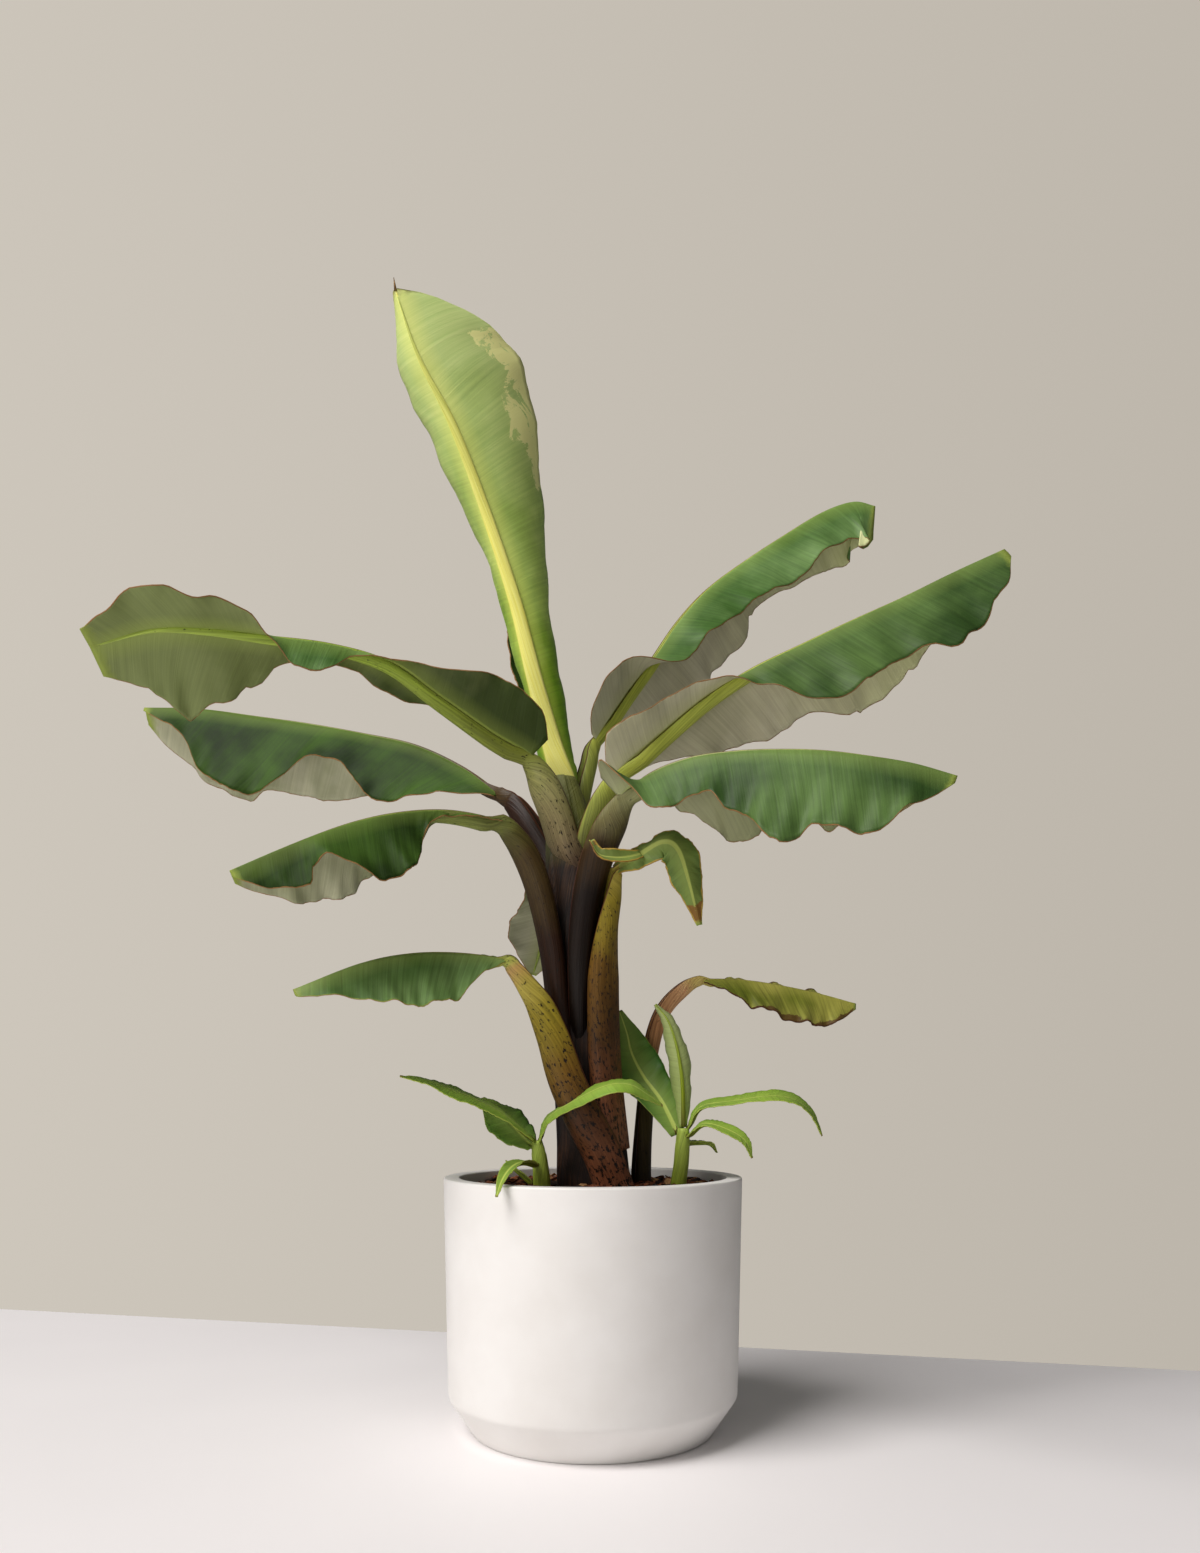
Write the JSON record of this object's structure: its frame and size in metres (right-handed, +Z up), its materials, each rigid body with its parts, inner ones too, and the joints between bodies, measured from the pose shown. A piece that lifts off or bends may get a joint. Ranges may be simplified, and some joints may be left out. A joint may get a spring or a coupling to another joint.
{
  "type": "potted banana plant",
  "caption": "Tall banana plant with arching broad leaves, a dark sheathed stem and young side shoots in a plain white cylindrical ceramic pot.",
  "frame": {"origin": "centre of the pot's flat underside", "axes": "+Z up, +Y towards the plant's back, +X to the right when seen from the front"},
  "size_m": [0.9465, 0.4666, 1.1449],
  "materials": {
    "ceramic": "matte white glaze",
    "soil": "rough potting soil with bark chips",
    "stem": "dark brown papery leaf sheaths",
    "stalk": "satin yellow-green stalk with brown specks",
    "blade": "satin dark green leaf",
    "spear": "satin pale green new leaf",
    "yellowing": "satin yellowing leaf",
    "young": "satin fresh green"
  },
  "bodies": {
    "root": {"blade_back_low": "blade", "blade_back_upright": "blade", "blade_left_high": "blade", "blade_left_low": "blade", "blade_left_lowest": "yellowing", "blade_left_middle": "blade", "blade_right_high": "blade", "blade_right_low": "yellowing", "blade_right_middle": "blade", "blade_right_upper": "blade", "blade_spear": "spear", "blade_withered": "yellowing", "blade_withered_curl": "yellowing", "pot": "ceramic", "potting_soil": "soil", "pseudostem": "stem", "side_leaf_left_1": "young", "side_leaf_left_2": "young", "side_leaf_left_3": "young", "side_leaf_left_4": "young", "side_leaf_left_5": "young", "side_leaf_right_1": "young", "side_leaf_right_2": "young", "side_leaf_right_3": "young", "side_leaf_right_4": "young", "side_leaf_right_5": "young", "side_stem_left": "young", "side_stem_right": "young", "stalk_back_low": "stalk", "stalk_back_upright": "stalk", "stalk_left_high": "stalk", "stalk_left_low": "stalk", "stalk_left_lowest": "stalk", "stalk_left_middle": "stalk", "stalk_right_high": "stalk", "stalk_right_low": "stalk", "stalk_right_middle": "stalk", "stalk_right_upper": "stalk", "stalk_withered": "stalk"}
  },
  "joints": []
}
